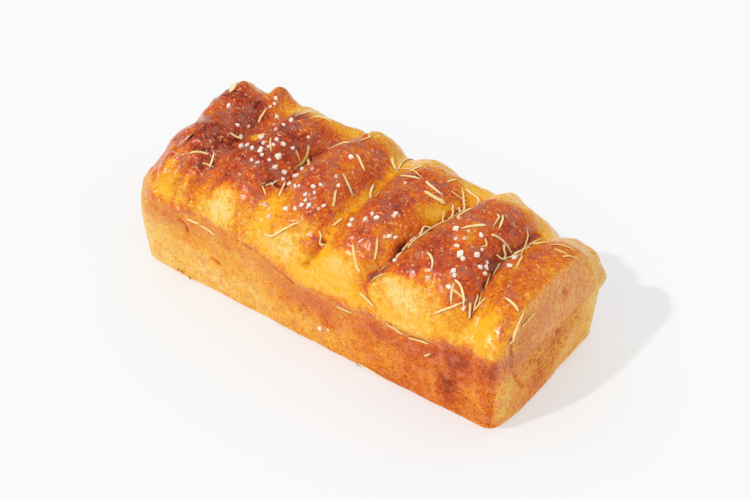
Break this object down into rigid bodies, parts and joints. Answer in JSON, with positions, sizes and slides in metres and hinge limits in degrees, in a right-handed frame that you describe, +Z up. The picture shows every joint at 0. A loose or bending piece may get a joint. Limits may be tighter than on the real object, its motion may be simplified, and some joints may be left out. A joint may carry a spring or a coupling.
{
  "type": "rosemary and salt focaccia loaf",
  "caption": "Tin-baked focaccia loaf with a lobed, glossy brown top, straight golden walls and a flat base, strewn with rosemary needles and coarse salt.",
  "frame": {"origin": "middle of the flat base, on the surface the loaf stands on", "axes": "+X along the length of the loaf, +Y across it towards the back, +Z up"},
  "size_m": [0.1942, 0.0807, 0.0687],
  "materials": {
    "crust": "glazed crust, dark red-brown on the lobes, golden in the grooves and on the walls",
    "rosemary": "dry, straw-coloured, browner at the edges",
    "salt": "white, slightly translucent"
  },
  "bodies": {
    "root": {"loaf": "crust", "rosemary_needle_01": "rosemary", "rosemary_needle_02": "rosemary", "rosemary_needle_03": "rosemary", "rosemary_needle_04": "rosemary", "rosemary_needle_05": "rosemary", "rosemary_needle_06": "rosemary", "rosemary_needle_07": "rosemary", "rosemary_needle_08": "rosemary", "rosemary_needle_09": "rosemary", "rosemary_needle_10": "rosemary", "rosemary_needle_11": "rosemary", "rosemary_needle_12": "rosemary", "rosemary_needle_13": "rosemary", "rosemary_needle_14": "rosemary", "rosemary_needle_15": "rosemary", "rosemary_needle_16": "rosemary", "rosemary_needle_17": "rosemary", "rosemary_needle_18": "rosemary", "rosemary_needle_19": "rosemary", "rosemary_needle_20": "rosemary", "rosemary_needle_21": "rosemary", "rosemary_needle_22": "rosemary", "rosemary_needle_23": "rosemary", "rosemary_needle_24": "rosemary", "rosemary_needle_25": "rosemary", "rosemary_needle_26": "rosemary", "rosemary_needle_27": "rosemary", "rosemary_needle_28": "rosemary", "rosemary_needle_29": "rosemary", "rosemary_needle_30": "rosemary", "rosemary_needle_31": "rosemary", "rosemary_needle_32": "rosemary", "rosemary_needle_33": "rosemary", "rosemary_needle_34": "rosemary", "salt_crystal_01": "salt", "salt_crystal_02": "salt", "salt_crystal_03": "salt", "salt_crystal_04": "salt", "salt_crystal_05": "salt", "salt_crystal_06": "salt", "salt_crystal_07": "salt", "salt_crystal_08": "salt", "salt_crystal_09": "salt", "salt_crystal_10": "salt", "salt_crystal_11": "salt", "salt_crystal_12": "salt", "salt_crystal_13": "salt", "salt_crystal_14": "salt", "salt_crystal_15": "salt", "salt_crystal_16": "salt", "salt_crystal_17": "salt", "salt_crystal_18": "salt", "salt_crystal_19": "salt", "salt_crystal_20": "salt", "salt_crystal_21": "salt", "salt_crystal_22": "salt", "salt_crystal_23": "salt", "salt_crystal_24": "salt", "salt_crystal_25": "salt"}
  },
  "joints": []
}
